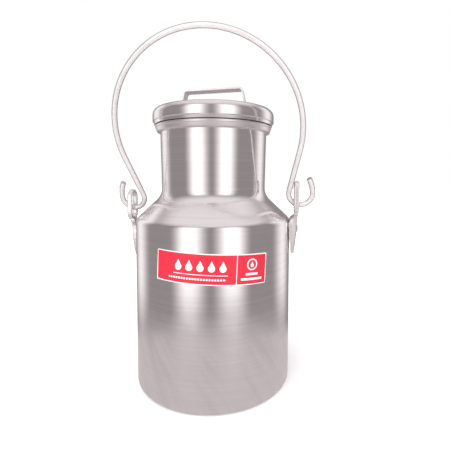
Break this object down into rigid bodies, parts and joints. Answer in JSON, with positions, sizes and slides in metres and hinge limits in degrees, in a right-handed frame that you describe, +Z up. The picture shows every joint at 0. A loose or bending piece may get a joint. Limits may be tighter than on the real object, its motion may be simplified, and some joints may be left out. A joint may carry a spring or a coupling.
{
  "type": "milk can",
  "caption": "Cylindrical aluminium milk can with a sloped shoulder, open neck, lift-off lid with a strap grip, and a swinging wire bail hooked in two riveted ears.",
  "frame": {"origin": "centre of the can's base, on the surface it stands on", "axes": "+Z up along the can's axis, the two ears and the bail's hinge lie along X, the bail leans to -Y at rest, the label faces -Y turned a little to +X"},
  "size_m": [0.195, 0.1502, 0.32],
  "materials": {
    "spun_aluminium": "spun and polished, satin lower wall",
    "cast_aluminium": "matte, as cast",
    "strap_aluminium": "satin strip",
    "rod_aluminium": "drawn rod",
    "rivet": "hammered",
    "label_film": "printed glossy film"
  },
  "bodies": {
    "can": {"can_body": "spun_aluminium", "mouth_ring": "cast_aluminium", "ear_left": "cast_aluminium", "ear_right": "cast_aluminium", "ear_rivet_left": "rivet", "ear_rivet_right": "rivet", "ear_washer_left": "rivet", "ear_washer_right": "rivet", "label": "label_film"},
    "lid": {"lid_shell": "spun_aluminium", "lid_plug": "spun_aluminium", "lid_handle": "strap_aluminium", "lid_rivet_left": "rivet", "lid_rivet_right": "rivet", "lid_washer_left": "rivet", "lid_washer_right": "rivet"},
    "bail": {"bail": "rod_aluminium"}
  },
  "joints": [
    {"name": "bail_swing", "type": "hinge", "parent": "can", "child": "bail", "pos_m": [0, 0, 0.1671], "axis": [0.9996, 0, 0.0279], "range_deg": [-118, 74]},
    {"name": "lid_lift", "type": "slide", "parent": "can", "child": "lid", "axis": [0, 0, 1], "range_m": [0, 0.05]}
  ]
}
